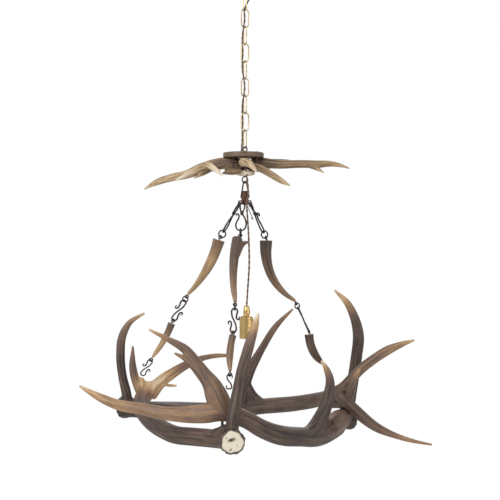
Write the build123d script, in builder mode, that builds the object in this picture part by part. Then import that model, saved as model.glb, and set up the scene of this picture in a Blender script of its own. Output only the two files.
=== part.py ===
from build123d import *
import os
from math import cos, radians, sin

os.makedirs("parts", exist_ok=True)

# Antler chandelier: a corona of antler pieces on a chain, a hub below it, and three strings of
# horn drops that carry a ring of three antlers, with one lampholder on a flex in the middle.
# Millimetres, +Z up, -Y towards the viewer; the origin is the ceiling plate's back face.

# ---------------------------------------------------------------- driving dimensions
touch_gap = 0.3              # between pieces that hang in each other
running_gap = 0.08           # radial, between pieces that turn or slide in each other

plate_diameter = 90.0
plate_thickness = 5.0
plate_screw_circle = 66.0
plate_screw_diameter = 5.0
plate_screw_count = 3
plate_flex_reach = 24.0      # plate's middle to the flex hole
hook_wire = 5.0
hook_shank_radius = 3.0
hook_ring_radius = 9.0       # to the wire's middle
hook_drop = 47.5             # ceiling to the middle of the wire at the hook's bottom
hook_opening = 65.0          # degrees left open

link_wire = 2.8
link_length = 46.4
link_width = 21.0
link_count = 9
chain_turn = 22.0            # degrees that the chain hangs turned about the vertical

disc_diameter = 96.0
disc_thickness = 12.0
disc_offset = -3.5           # the disc was bored a little off its middle
disc_edge = 3.0
eye_wire = 3.0
top_eye_radius = 5.2
low_eye_radius = 7.5
low_eye_turn = 30.0
bolt_rod_radius = 3.0
bolt_rod_gap = 0.5           # radial room round the eye bolt in the wood and bone
washer_diameter = 18.0
washer_thickness = 1.5
corona_depth = 42.0          # disc top to boss top
boss_diameter = 40.0
boss_thickness = 13.0
boss_edge = 5.0
corona_antler_drop = 14.0    # disc's underside to the middle of the antlers
corona_screw_circle = 76.0
corona_screw_head = 4.0
corona_screw_radius = 1.8
corona_screw_head_height = 1.5

hoop_wire = 3.5
hoop_height = 39.0
hoop_top_width = 9.0
hoop_bottom_width = 28.0
hoop_turn = -45.0
bobbin_radius = 8.5
bobbin_top_radius = 5.5
bobbin_height = 33.0
bobbin_above_bar = 17.0
lug_wire = 3.0
lug_radius = 4.0
lug_reach = 12.0             # hub's axis to the middle of a lug
lug_drop = 10.0              # bar to the middle of a lug
clip_wire = 2.0

hook_rod = 3.2
neck_length = 29.0           # a long hook's small upper loop
neck_width = 10.0
pear_length = 56.0           # and its large lower loop
pear_width = 24.0
collar_radius = 3.8
collar_length = 9.0
string_ring_radius = 8.5
string_ring_wire = 3.2
small_ring_radius = 6.5
small_ring_wire = 3.0
screw_eye_radius = 4.0
screw_eye_wire = 2.8
screw_shank_radius = 1.6
screw_bite = 16.0            # depth of a screw eye's shank in the horn
screw_neck = 3.0             # shank that shows between the eye and the horn
foot_bite = 22.0             # depth of a foot eye's shank in the antler
peg_radius = 3.0

flex_radius = 2.3
flex_hole_gap = 0.9          # radial room round the flex where it passes through a piece
drop_length = 236.0          # hub to the top of the cord grip

grip_radius = 8.0
grip_tip_radius = 4.6
grip_height = 23.0
cap_radius = 15.2
cap_height = 8.7
cap_wall = 1.0
body_length = 38.0
body_in_cap = 5.0            # length of the holder's body that the cap covers
lamp_bore_radius = 11.3      # takes the 22 mm cap of a bayonet lamp
sleeve_radius = 17.0
sleeve_wall = 1.2
sleeve_length = 45.0
sleeve_thread_length = 12.0
sleeve_bead = 0.8
insert_radius = 10.8
insert_height = 12.0
pin_radius = 2.5
pin_length = 14.0
pin_spacing = 11.0
pin_stand_out = 4.5
slot_width = 2.8
slot_depth = 16.0
terminal_radius = 1.6
terminal_height = 3.0

# ---------------------------------------------------------------- levels that follow from them
hook_low = -hook_drop
link_step = link_length - 2 * link_wire - touch_gap
first_link_top = hook_low + (hook_wire + link_wire) / 2 + touch_gap
link_tops = [first_link_top - k * link_step for k in range(link_count)]
chain_low = link_tops[-1] - link_length + link_wire
top_eye_middle = chain_low + (link_wire + eye_wire) / 2 + touch_gap - top_eye_radius
disc_top = top_eye_middle - top_eye_radius - eye_wire / 2 - washer_thickness
disc_bottom = disc_top - disc_thickness
corona_level = disc_bottom - corona_antler_drop
boss_top = disc_top - corona_depth
boss_bottom = boss_top - boss_thickness
low_eye_middle = boss_bottom - low_eye_radius - eye_wire / 2
low_eye_bottom = low_eye_middle - low_eye_radius
hoop_top = low_eye_bottom + (eye_wire + hoop_wire) / 2 + touch_gap
bar_level = hoop_top - hoop_height
bobbin_top = bar_level + bobbin_above_bar
bobbin_bottom = bobbin_top - bobbin_height
lug_level = bar_level - lug_drop
ring_drop = 515.0            # lugs to the middle of the ring's beams
ring_base = (-2, -8, lug_level - ring_drop)      # shifted so that the ring balances on the hub
flex_hole = flex_radius + flex_hole_gap


# ---------------------------------------------------------------- ways of making
def save(piece, label):
    """Name a finished piece and write it."""
    piece.part.label = label
    export_step(piece.part, f"parts/{label}.step")


def upright(level, turn=0.0):
    """A vertical plane on the chandelier's axis: local x is level, local y is up."""
    across = Vector(cos(radians(turn)), sin(radians(turn)), 0)
    return Plane(origin=(0, 0, level), x_dir=across, z_dir=across.cross(Vector(0, 0, 1)))


def wire_ring(plane, middle, radius, wire):
    """A round ring of wire that lies in a plane, with its middle at a height in it."""
    center = plane.origin + plane.y_dir * middle
    with BuildSketch(Plane(origin=center + plane.x_dir * radius, z_dir=plane.y_dir)) as section:
        Circle(wire / 2)
    revolve(section.sketch, axis=Axis(center, plane.z_dir))


def bent_wire(plane, points, corner_radii, wire, close=False):
    """A wire bent in a plane along straight runs and the arcs between them."""
    with BuildLine(plane) as bend:
        FilletPolyline(*points, radius=corner_radii, close=close)
    with BuildSketch(Plane(origin=bend.line @ 0, z_dir=bend.line % 0)) as section:
        Circle(wire / 2)
    sweep(section.sketch, path=bend.line)


def rod(start, end, radius):
    """A straight round rod between two points."""
    start, end = Vector(start), Vector(end)
    with BuildSketch(Plane(origin=start, z_dir=end - start)) as section:
        Circle(radius)
    extrude(section.sketch, amount=(end - start).length)


def tine(points, base):
    """Antler or horn lofted through circles: each point is x, y, z from a base, radius."""
    middles = [Vector(base) + Vector(x, y, z) for x, y, z, _ in points]
    side = Vector(0.31, 0.42, 0.85)
    rounds = []
    for k, middle in enumerate(middles):
        ahead = (middles[min(k + 1, len(middles) - 1)] - middles[max(k - 1, 0)]).normalized()
        side = (side - ahead * side.dot(ahead)).normalized()
        with BuildSketch(Plane(origin=middle, x_dir=side, z_dir=ahead)) as section:
            Circle(points[k][3])
        rounds.append(section.sketch)
    loft(rounds)


def antler(label, base, *stretches):
    """One antler: its beam and its tines, each a loft, fused where they fork."""
    with BuildPart() as piece:
        for stretch in stretches:
            tine(stretch, base)
    save(piece, label)


def flex_run(label, points):
    """Flex along straight runs and tangent arcs, each as large as its runs allow."""
    corners = [Vector(point) for point in points]
    corner_radii = []
    for before, corner, after in zip(corners, corners[1:], corners[2:]):
        turn = radians((corner - before).get_angle(after - corner))
        run = min((corner - before).length, (after - corner).length)
        corner_radii.append(0.45 * run * (1 + cos(turn)) / sin(turn))
    with BuildPart() as piece:
        with BuildLine() as route:
            FilletPolyline(*corners, radius=corner_radii)
        with BuildSketch(Plane(origin=route.line @ 0, z_dir=route.line % 0)) as section:
            Circle(flex_radius)
        sweep(section.sketch, path=route.line)
    length = route.wires()[0].length
    plain = section.sketch.area * length
    print(label, "length", round(length), "least arc", round(min(corner_radii)),
          "volume", round(piece.part.volume), "section x length", round(plain))
    save(piece, label)


# ---------------------------------------------------------------- ceiling plate and hook
# Turned brass plate; three holes take the ceiling screws and a fourth lets the flex out.
with BuildPart() as ceiling_plate:
    with BuildSketch(Plane.XY.offset(-plate_thickness)):
        Circle(plate_diameter / 2)
        Circle(hook_shank_radius, mode=Mode.SUBTRACT)
        with PolarLocations(plate_screw_circle / 2, plate_screw_count, start_angle=90):
            Circle(plate_screw_diameter / 2, mode=Mode.SUBTRACT)
        with Locations((plate_flex_reach, 0)):
            Circle(flex_hole, mode=Mode.SUBTRACT)
    extrude(amount=plate_thickness)
    rim = ceiling_plate.edges().filter_by(GeomType.CIRCLE).sort_by(SortBy.RADIUS)[-2:]
    fillet(rim.sort_by(Axis.Z)[0], plate_thickness * 0.5)
save(ceiling_plate, "ceiling_plate")

# Iron hook: a shank riveted in the plate and an open ring in which the chain hangs.
hook_plane = upright(hook_low + hook_ring_radius, chain_turn)
with BuildPart() as ceiling_hook:
    rod((0, 0, hook_low + 2 * hook_ring_radius), (0, 0, 0), hook_shank_radius)
    with BuildLine(hook_plane) as hook_arc:
        CenterArc((0, 0), hook_ring_radius, 90, 360 - hook_opening)
    with BuildSketch(Plane(origin=hook_arc.line @ 0, z_dir=hook_arc.line % 0)):
        Circle(hook_wire / 2)
    sweep(path=hook_arc.line)
save(ceiling_hook, "ceiling_hook")

# ---------------------------------------------------------------- chain
# Oval brass links, each a quarter turn on from the last.
for number, top in enumerate(link_tops, start=1):
    half_width = (link_width - link_wire) / 2
    turn = chain_turn + (90 if number % 2 else 0)
    height = link_length - link_wire
    with BuildPart() as link:
        with BuildLine(upright(top - height / 2, turn)) as oval:
            FilletPolyline((-half_width, height / 2), (half_width, height / 2),
                           (half_width, -height / 2), (-half_width, -height / 2),
                           radius=half_width * 0.98, close=True)
        with BuildSketch(Plane(origin=oval.line @ 0, z_dir=oval.line % 0)):
            Circle(link_wire / 2)
        sweep(path=oval.line)
    save(link, f"chain_link_{number}")

# ---------------------------------------------------------------- corona
# Dark wooden disc that carries the antler pieces, bored for the eye bolt and the flex.
disc_flex = (-8.0, -9.0)
boss_flex = (4.0, -12.5)
with BuildPart() as corona_disc:
    with BuildSketch(Plane.XY.offset(disc_bottom)):
        with Locations((disc_offset, 0)):
            Circle(disc_diameter / 2)
        Circle(bolt_rod_radius + bolt_rod_gap, mode=Mode.SUBTRACT)
        with Locations(disc_flex):
            Circle(flex_hole, mode=Mode.SUBTRACT)
    extrude(amount=disc_thickness)
    rims = corona_disc.edges().filter_by(GeomType.CIRCLE).sort_by(SortBy.RADIUS)[-2:]
    fillet(rims, disc_edge)
save(corona_disc, "corona_disc")

with BuildPart() as corona_washer:
    with BuildSketch(Plane.XY.offset(disc_top)):
        Circle(washer_diameter / 2)
        Circle(bolt_rod_radius + bolt_rod_gap, mode=Mode.SUBTRACT)
    extrude(amount=washer_thickness)
save(corona_washer, "corona_washer")

# Iron eye bolt: an eye for the chain, a rod through wood and bone, an eye for the hoop.
with BuildPart() as corona_eye_bolt:
    wire_ring(upright(top_eye_middle, chain_turn), 0, top_eye_radius, eye_wire)
    rod((0, 0, low_eye_middle + low_eye_radius), (0, 0, top_eye_middle - top_eye_radius),
        bolt_rod_radius)
    wire_ring(upright(low_eye_middle, low_eye_turn), 0, low_eye_radius, eye_wire)
save(corona_eye_bolt, "corona_eye_bolt")

# Pale slice of antler under the corona that the bolt draws up against the pieces.
with BuildPart() as corona_boss:
    with BuildSketch(Plane.XY.offset(boss_bottom)):
        Circle(boss_diameter / 2)
        Circle(bolt_rod_radius + bolt_rod_gap, mode=Mode.SUBTRACT)
        with Locations(boss_flex):
            Circle(flex_hole, mode=Mode.SUBTRACT)
    extrude(amount=boss_thickness)
    rims = corona_boss.edges().filter_by(GeomType.CIRCLE).sort_by(SortBy.RADIUS)[-2:]
    fillet(rims, boss_edge)
save(corona_boss, "corona_boss")

# Antler pieces that lie under the disc and fan out from it: x, y, z from the base, radius.
corona_base = (0, 0, corona_level)
antler("corona_antler_left", corona_base,
       [(-15, 3, -3, 11), (-27, 1, -2, 12.5), (-45, 1, -2, 13.5), (-70, 2, -4, 14), (-104, 3, -12, 13),
        (-137, 4, -25, 10), (-176, 6, -33, 9), (-214, 8, -46, 6.5), (-238, 9, -60, 1.5)],
       [(-82, -2, -8, 10), (-98, -16, -12, 8), (-130, -34, -26, 6), (-162, -46, -42, 1.5)],
       [(-84, 0, -12, 9), (-100, -18, -24, 6), (-119, -30, -36, 1.5)],
       [(-96, 2, -6, 9), (-84, -24, -6, 8), (-66, -46, -18, 5.5), (-50, -62, -33, 1.5)])
antler("corona_antler_right", corona_base,
       [(25, 0, 0, 11.5), (46, -1, -1, 11), (82, -2, -2, 10), (129, -4, -1, 9.2),
        (169, -7, -2, 9), (200, -10, -1, 6.8), (220, -12, -4, 5), (245, -14, -12, 1.5)],
       [(150, -5, -5, 6), (168, -14, -12, 5), (184, -25, -23, 1.5)])
antler("corona_antler_front", corona_base,
       [(-4, -25, -1, 11), (0, -44, 0, 12), (8, -70, -4, 10.5), (17, -95, -15, 7),
        (26, -114, -28, 1.5)])
antler("corona_antler_front_left", corona_base,
       [(-15, -19, -21, 6), (-24, -26, -22, 7), (-36, -34, -23, 6), (-48, -41, -25, 2)])
antler("corona_antler_down_right", corona_base,
       [(22, -20, -7, 8), (34, -27, -12, 8.5), (58, -38, -26, 8), (84, -50, -43, 6.5),
        (105, -60, -55, 1.5)])
antler("corona_antler_back", corona_base,
       [(13, 25, 0, 12), (34, 44, 1, 12.5), (74, 70, 5, 11), (112, 92, 7, 8), (150, 112, 4, 1.5)])

# Wood screws through the disc, one into each piece that it carries: bearing, length.
corona_screw_places = [(0, 26), (62, 26), (180, 26), (-91, 26), (-42, 34), (-135, 44)]
with BuildPart() as corona_screws:
    for bearing, length in corona_screw_places:
        x = corona_screw_circle / 2 * cos(radians(bearing))
        y = corona_screw_circle / 2 * sin(radians(bearing))
        rod((x, y, disc_top), (x, y, disc_top - length), corona_screw_radius)
        rod((x, y, disc_top - corona_screw_head_height), (x, y, disc_top + 0.8), corona_screw_head)
save(corona_screws, "corona_screws")

# ---------------------------------------------------------------- hub
# Forged hoop with a straight bottom bar that hangs in the eye bolt's lower eye.
with BuildPart() as hub_hoop:
    bent_wire(upright(hoop_top, hoop_turn),
              [(-hoop_top_width / 2, 0), (hoop_top_width / 2, 0),
               (hoop_bottom_width / 2, -hoop_height), (-hoop_bottom_width / 2, -hoop_height)],
              hoop_top_width * 0.43, hoop_wire, close=True)
save(hub_hoop, "hub_hoop")

# The three strings' feet: screw eyes on the crowns of the antlers, and the hub's lugs above.
strings = {
    "left": dict(foot=(-243, 78, 95), lug_turn=165, roll=90, bow=10, bow_turn=0,
                 upper=150, lower=94,
                 upper_radii=(13.5, 12, 10, 8.5, 4), lower_radii=(8.5, 8, 7, 5.5, 3.2),
                 foot_lean=(0, 1, -0.3), s_hook_loop=5.5, s_reach=66),
    "middle": dict(foot=(-32, -240, 103), lug_turn=-116, roll=0, bow=9, bow_turn=75,
                   upper=154, lower=84,
                   upper_radii=(11.5, 10.5, 8.5, 6.5, 4), lower_radii=(7.5, 8, 7.8, 5.5, 3.2),
                   foot_lean=(-0.6, 0, -1), s_hook_loop=5.5, s_reach=62),
    "right": dict(foot=(215, 122, 79), lug_turn=20, roll=90, bow=28, bow_turn=0,
                  upper=158, lower=84,
                  upper_radii=(14.5, 12, 9, 7, 4), lower_radii=(10.5, 10.5, 9.5, 6.5, 3.2),
                  foot_lean=(0, 0, -1), s_hook_loop=4.2, s_reach=68),
}
for string in strings.values():
    x, y, rise = string["foot"]
    string["end"] = Vector(ring_base) + Vector(x, y, rise)
    lug_turn = radians(string["lug_turn"])
    string["out"] = Vector(cos(lug_turn), sin(lug_turn), 0)
    string["start"] = string["out"] * lug_reach + Vector(0, 0, lug_level)
    string["way"] = (string["end"] - string["start"]).normalized()
    string["length"] = (string["end"] - string["start"]).length
    string["across"] = Vector(0, 0, 1).cross(string["way"]).normalized()


def along(string, roll=0.0):
    """A plane that holds a string's line as its local y, rolled about it by degrees."""
    over = string["way"].cross(string["across"])
    side = string["across"] * cos(radians(roll)) + over * sin(radians(roll))
    return Plane(origin=string["start"], x_dir=side, z_dir=side.cross(string["way"]))


def point_on(string, distance, bow=0.0):
    """A point at a distance along a string, bowed in under it or to its side."""
    bow_turn = radians(string["bow_turn"])
    over = string["way"].cross(string["across"])
    outward = over * cos(bow_turn) + string["across"] * sin(bow_turn)
    return string["start"] + string["way"] * distance - outward * bow


# Iron bobbin that turns on the hoop's bar, with a lug for each string and a clip for the flex.
flex_x, flex_y = 4.0, -14.5
bar_direction = Vector(cos(radians(hoop_turn)), sin(radians(hoop_turn)), 0)
with BuildPart() as hub_bobbin:
    with BuildSketch(Plane.XZ) as profile:
        with BuildLine():
            Polyline((0, bobbin_top), (bobbin_top_radius, bobbin_top),
                     (bobbin_radius, bar_level), (bobbin_radius, bobbin_bottom + 4),
                     (bobbin_radius - 3, bobbin_bottom), (0, bobbin_bottom), close=True)
        make_face()
    revolve(axis=Axis.Z)
    for string in strings.values():
        lug_plane = Plane(origin=string["start"], x_dir=string["out"],
                          z_dir=string["out"].cross(Vector(0, 0, 1)))
        wire_ring(lug_plane, 0, lug_radius, lug_wire)
    clip_level = bobbin_bottom + 5
    clip_radius = flex_radius + clip_wire / 2 + touch_gap
    wire_ring(Plane.XY.offset(clip_level).move(Location((flex_x, flex_y, 0))), 0, clip_radius,
              clip_wire)
    rod((flex_x * 0.4, flex_y * 0.4, clip_level),
        (flex_x * 0.78, flex_y * 0.78, clip_level), clip_wire / 2)
    with BuildSketch(Plane(origin=bar_direction * -bobbin_radius * 2 + Vector(0, 0, bar_level),
                           z_dir=bar_direction)) as bar_hole:
        Circle(hoop_wire / 2 + running_gap)
    extrude(bar_hole.sketch, amount=bobbin_radius * 4, mode=Mode.SUBTRACT)
save(hub_bobbin, "hub_bobbin")

# ---------------------------------------------------------------- strings
# Distances along a string, from the middle of its lug to the middles of the wires.
hook_top = lug_radius - (lug_wire + hook_rod) / 2 - touch_gap
hook_waist = hook_top + neck_length
hook_end = hook_waist + pear_length
ring_top = hook_end - (hook_rod + string_ring_wire) / 2 - touch_gap
ring_end = ring_top + 2 * string_ring_radius
upper_eye_top = ring_end - (string_ring_wire + screw_eye_wire) / 2 - touch_gap
upper_horn_top = upper_eye_top + 2 * screw_eye_radius + screw_neck
eye_reach = 2 * screw_eye_radius + screw_neck


def horn(label, string, start, length, end_radii, bow):
    """A horn drop, bowed in under the string's line, with its wide end up."""
    count = len(end_radii)
    stations = []
    for k, radius in enumerate(end_radii):
        share = k / (count - 1)
        middle = point_on(string, start + length * share, 4 * bow * share * (1 - share))
        stations.append((middle.X, middle.Y, middle.Z, radius))
    with BuildPart() as piece:
        tine(stations, (0, 0, 0))
    save(piece, label)


def screw_eye(string, eye_end, horn_end, roll, bite):
    """A screw eye: its ring ends at one distance and its shank enters the horn at another."""
    way = 1 if horn_end > eye_end else -1
    wire_ring(along(string, roll), eye_end - way * screw_eye_radius, screw_eye_radius,
              screw_eye_wire)
    rod(point_on(string, eye_end), point_on(string, horn_end + way * bite), screw_shank_radius)


for name, string in strings.items():
    roll = string["roll"]
    string["upper_end"] = upper_horn_top + string["upper"]
    string["small_top"] = (string["upper_end"] + eye_reach
                           - (screw_eye_wire + small_ring_wire) / 2 - touch_gap)
    string["small_end"] = string["small_top"] + 2 * small_ring_radius
    string["s_top"] = string["small_end"] - (small_ring_wire + hook_rod) / 2 - touch_gap
    string["lower_top"] = string["s_top"] + string["s_reach"]
    string["s_end"] = string["lower_top"] - eye_reach + (screw_eye_wire + hook_rod) / 2 + touch_gap
    string["lower_end"] = string["lower_top"] + string["lower"]
    string["foot_top"] = (string["lower_end"] + eye_reach
                          - (screw_eye_wire + hook_rod) / 2 - touch_gap)
    string["foot_end"] = (string["length"] - screw_eye_radius
                          + (screw_eye_wire + hook_rod) / 2 + touch_gap)

    # Long hook: a small neck loop round the lug and a pear loop below, bound at the waist.
    with BuildPart() as long_hook:
        half_neck, half_pear, leg = neck_width / 2, pear_width / 2, hook_rod * 0.55
        bent_wire(along(string), [(leg, hook_waist), (half_neck, hook_top),
                                  (-half_neck, hook_top), (-leg, hook_waist)],
                  neck_width * 0.4, hook_rod)
        bent_wire(along(string), [(leg, hook_waist), (half_pear, hook_end),
                                  (-half_pear, hook_end), (-leg, hook_waist)],
                  pear_width * 0.37, hook_rod)
        rod(point_on(string, hook_waist - collar_length / 2),
            point_on(string, hook_waist + collar_length / 2), collar_radius)
    save(long_hook, f"long_hook_{name}")

    horn(f"upper_horn_{name}", string, upper_horn_top, string["upper"],
         string["upper_radii"], string["bow"])
    horn(f"lower_horn_{name}", string, string["lower_top"], string["lower"],
         string["lower_radii"], string["bow"] * 0.4)

    for part_name, top, end in (("s_hook", string["s_top"], string["s_end"]),
                                ("foot_hook", string["foot_top"], string["foot_end"])):
        loop = string["s_hook_loop"] if part_name == "s_hook" else 4.6
        with BuildPart() as s_hook:
            bent_wire(along(string, roll),
                      [(loop, top + 1.6 * loop), (loop, top), (-loop, top),
                       (-loop, top + 1.8 * loop), (loop, end - 1.8 * loop), (loop, end),
                       (-loop, end), (-loop, end - 1.6 * loop)],
                      [loop * 0.95, loop * 0.95, loop, loop, loop * 0.95, loop * 0.95], hook_rod)
        save(s_hook, f"{part_name}_{name}")

with BuildPart() as string_rings:
    for string in strings.values():
        wire_ring(along(string, 90), ring_top + string_ring_radius, string_ring_radius,
                  string_ring_wire)
save(string_rings, "string_rings")

with BuildPart() as small_rings:
    for string in strings.values():
        wire_ring(along(string, string["roll"] + 90), string["small_top"] + small_ring_radius,
                  small_ring_radius, small_ring_wire)
save(small_rings, "small_rings")

with BuildPart() as horn_eyes:
    for string in strings.values():
        roll = string["roll"]
        screw_eye(string, upper_horn_top - screw_neck, upper_horn_top, 0, screw_bite)
        screw_eye(string, string["upper_end"] + screw_neck, string["upper_end"], roll, screw_bite)
        screw_eye(string, string["lower_top"] - screw_neck, string["lower_top"], roll + 90,
                  screw_bite)
        screw_eye(string, string["lower_end"] + screw_neck, string["lower_end"], roll + 90,
                  screw_bite)
save(horn_eyes, "horn_eyes")

with BuildPart() as foot_eyes:
    for string in strings.values():
        wire_ring(along(string, string["roll"] + 90), string["length"], screw_eye_radius,
                  screw_eye_wire)
        lean = Vector(string["foot_lean"]).normalized()
        rod(string["end"] + lean * screw_eye_radius,
            string["end"] + lean * (screw_eye_radius + foot_bite), screw_shank_radius)
save(foot_eyes, "foot_eyes")

# ---------------------------------------------------------------- ring of three antlers
# Each starts at a coronet on one corner, sends a brow tine up there, and lays its crown over
# the next antler's coronet: x, y, z from the ring's base, radius.
antler("antler_front", ring_base,
       [(-23, -303, -2, 26), (-24, -294, -2, 29), (-26, -281, -2, 24), (-42, -255, -3, 21),
        (-72, -230, -4, 20), (-112, -200, -5, 20), (-150, -160, -7, 20), (-186, -105, -1, 20),
        (-226, -20, 14, 19.5), (-246, 45, 34, 18.5), (-240, 90, 58, 18), (-226, 112, 76, 11)],
       [(-26, -274, 4, 15), (-23, -279, 38, 14.5), (-17, -275, 75, 13.5), (-11, -270, 110, 11.5),
        (-5, -262, 146, 10.5), (5, -254, 178, 10.5), (15, -249, 212, 9.3), (24, -247, 242, 6),
        (31, -246, 268, 1.5)],
       [(-239, 92, 39, 14), (-258, 100, 75, 11.5), (-269, 100, 112, 9.5), (-270, 98, 171, 1.5)],
       [(-229, 98, 52, 18), (-206, 116, 77, 16), (-174, 126, 101, 12.5), (-141, 138, 124, 10),
        (-102, 150, 137, 7), (-46, 166, 142, 4.4), (-28, 171, 140, 1.5)],
       [(-205, 104, 72, 9), (-185, 94, 74, 6), (-164, 84, 75, 1.5)],
       [(-240, 86, 50, 15), (-246, 96, 72, 12), (-249, 100, 90, 8)],
       [(-234, 94, 54, 15), (-230, 103, 72, 12), (-227, 106, 82, 8)])
antler("antler_right", ring_base,
       [(262, 124, -8, 24), (254, 119, -9, 27), (243, 112, -11, 22), (219, 62, -20, 23),
        (169, -40, -24, 23), (124, -115, -18, 22), (78, -175, -5, 22), (38, -212, 15, 20),
        (7, -228, 35, 19), (-42, -238, 53, 20), (-86, -238, 50, 20.7), (-156, -215, 46, 15.9),
        (-224, -190, 54, 13.2), (-281, -172, 62, 11.7), (-318, -163, 76, 9.3),
        (-344, -158, 89, 6), (-366, -153, 101, 1.5)],
       [(-38, -238, 48, 20), (-57, -239, 85, 24.5), (-69, -239, 112, 20), (-86, -238, 136, 15.5),
        (-104, -236, 160, 13.5), (-123, -234, 185, 10.5), (-166, -230, 211, 6),
        (-206, -225, 231, 1.5)],
       [(-104, -236, 160, 8), (-125, -243, 172, 5), (-149, -250, 181, 1.2)],
       [(240, 112, -10, 16), (250, 128, 12, 17), (263, 141, 66, 14.5), (275, 139, 144, 14),
        (279, 132, 193, 13.5), (261, 122, 260, 10), (219, 112, 306, 1.5)],
       [(135, -98, -21, 20), (158, -68, -12, 20), (176, -48, 14, 17.5), (190, -40, 44, 14.5),
        (197, -36, 74, 12.5), (199, -34, 101, 10), (192, -34, 125, 7.5), (179, -35, 147, 1.5)])
antler("antler_left", ring_base,
       [(-300, 131, 20, 26), (-291, 126, 20, 29), (-278, 119, 19, 24), (-248, 116, 15, 21),
        (-212, 142, 11, 20), (-172, 190, 5, 20), (-105, 250, -4, 20), (-14, 284, -6, 20),
        (46, 284, 2, 20), (124, 262, 11, 19.5), (180, 215, 26, 18.5), (206, 165, 40, 17),
        (222, 125, 54, 17), (240, 98, 68, 14)],
       [(-284, 122, 26, 14), (-287, 112, 56, 12), (-296, 110, 96, 10.5), (-301, 110, 150, 10.5),
        (-297, 110, 192, 10), (-279, 110, 226, 7), (-242, 110, 250, 1.5)],
       [(-8, 284, 0, 17), (-4, 280, 40, 16), (8, 272, 82, 14), (44, 255, 152, 9.5),
        (80, 235, 211, 7.5), (122, 220, 255, 1.5)],
       [(2, 278, 52, 13), (16, 281, 26, 13), (36, 283, 8, 14)],
       [(250, 90, 30, 13), (256, 80, 60, 11), (262, 72, 88, 9), (270, 66, 106, 6.5),
        (278, 62, 122, 1.5)],
       [(218, 132, 50, 14), (246, 96, 76, 14), (278, 85, 113, 12), (313, 80, 141, 11.5),
        (344, 72, 162, 11), (378, 62, 178, 7), (406, 55, 188, 1.5)],
       [(222, 122, 52, 14), (242, 96, 40, 14.5), (268, 80, 16, 14), (319, 68, -23, 11),
        (362, 60, -41, 7), (392, 55, -50, 5.5), (448, 48, -61, 1.5)])

# Iron pegs, driven down through each crown into the coronet beneath it.
with BuildPart() as antler_pegs:
    for top, end in (((-46, -240, 60), (-46, -240, -2)), ((238, 104, 56), (238, 106, -14)),
                     ((-242, 94, 56), (-250, 114, 14))):
        rod(Vector(ring_base) + Vector(top), Vector(ring_base) + Vector(end), peg_radius)
save(antler_pegs, "antler_pegs")

# ---------------------------------------------------------------- lampholder
# A bayonet lampholder turned in brass, with its cap, cord grip and a sleeve that screws on.
grip_top = bobbin_bottom - drop_length
cap_top = grip_top - grip_height
cap_bottom = cap_top - cap_height
body_top = cap_bottom + body_in_cap
body_bottom = body_top - body_length
body_radius = cap_radius - cap_wall - running_gap
insert_top = body_top
insert_bottom = insert_top - insert_height
lamp_stop = insert_bottom - pin_stand_out - 0.1     # a lamp's cap goes up to here
holder_plane = Plane(origin=(flex_x, flex_y, 0), x_dir=(1, 0, 0), z_dir=(0, -1, 0))
holder_axis = Axis((flex_x, flex_y, 0), (0, 0, 1))


def turned(outline):
    """A body turned about the lampholder's axis from a closed outline of radius and height."""
    with BuildSketch(holder_plane) as section:
        with BuildLine():
            Polyline(*outline, close=True)
        make_face()
    revolve(section.sketch, axis=holder_axis)


with BuildPart() as cord_grip:
    turned([(flex_hole, grip_top), (grip_tip_radius, grip_top), (6.4, grip_top - 3),
            (grip_radius, grip_top - 11), (grip_radius, cap_top + 4),
            (grip_radius - 1.2, cap_top + 2), (grip_radius - 1.2, cap_top), (flex_hole, cap_top)])
save(cord_grip, "cord_grip")

with BuildPart() as holder_cap:
    turned([(flex_hole, cap_top), (7.5, cap_top), (13, cap_top - 1.5), (cap_radius, cap_top - 4),
            (cap_radius, cap_bottom), (cap_radius - cap_wall, cap_bottom),
            (cap_radius - cap_wall, cap_top - 3.6), (12.6, cap_top - 2.6),
            (7.2, cap_top - 1.2), (flex_hole, cap_top - 1.2)])
save(holder_cap, "holder_cap")

with BuildPart() as holder_body:
    turned([(insert_radius, body_top), (body_radius, body_top), (body_radius, body_bottom),
            (lamp_bore_radius, body_bottom), (lamp_bore_radius, lamp_stop),
            (insert_radius, lamp_stop)])
    for side in (-1, 1):
        slot_middle = flex_y + side * (lamp_bore_radius + body_radius) / 2
        with BuildSketch(Plane.XY.offset(body_bottom)) as entry:
            with Locations((flex_x, slot_middle)):
                Rectangle(slot_width, body_radius)
        extrude(entry.sketch, amount=slot_depth, mode=Mode.SUBTRACT)
        with BuildSketch(Plane.XY.offset(body_bottom + slot_depth - slot_width)) as catch:
            with Locations((flex_x + side * slot_width, slot_middle)):
                Rectangle(slot_width * 2, body_radius)
        extrude(catch.sketch, amount=slot_width, mode=Mode.SUBTRACT)
save(holder_body, "holder_body")

sleeve_top = cap_bottom - touch_gap
sleeve_bottom = sleeve_top - sleeve_length
sleeve_step = sleeve_top - sleeve_thread_length
with BuildPart() as holder_sleeve:
    bead_level = sleeve_top - sleeve_length * 0.42
    turned([(body_radius + running_gap, sleeve_top), (sleeve_radius - 1, sleeve_top),
            (sleeve_radius, sleeve_top - 1.5), (sleeve_radius, bead_level + 1.2),
            (sleeve_radius + sleeve_bead, bead_level), (sleeve_radius, bead_level - 1.2),
            (sleeve_radius, sleeve_bottom), (sleeve_radius - sleeve_wall, sleeve_bottom),
            (sleeve_radius - sleeve_wall, sleeve_step), (body_radius + running_gap, sleeve_step)])
save(holder_sleeve, "holder_sleeve")

# Dark moulded insert that holds the two sprung contact pins and the terminals.
with BuildPart() as holder_insert:
    with BuildSketch(Plane.XY.offset(insert_bottom)):
        with Locations((flex_x, flex_y)):
            Circle(insert_radius)
        with Locations((flex_x - pin_spacing / 2, flex_y), (flex_x + pin_spacing / 2, flex_y)):
            Circle(pin_radius + running_gap, mode=Mode.SUBTRACT)
    extrude(amount=insert_height)
save(holder_insert, "holder_insert")

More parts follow.
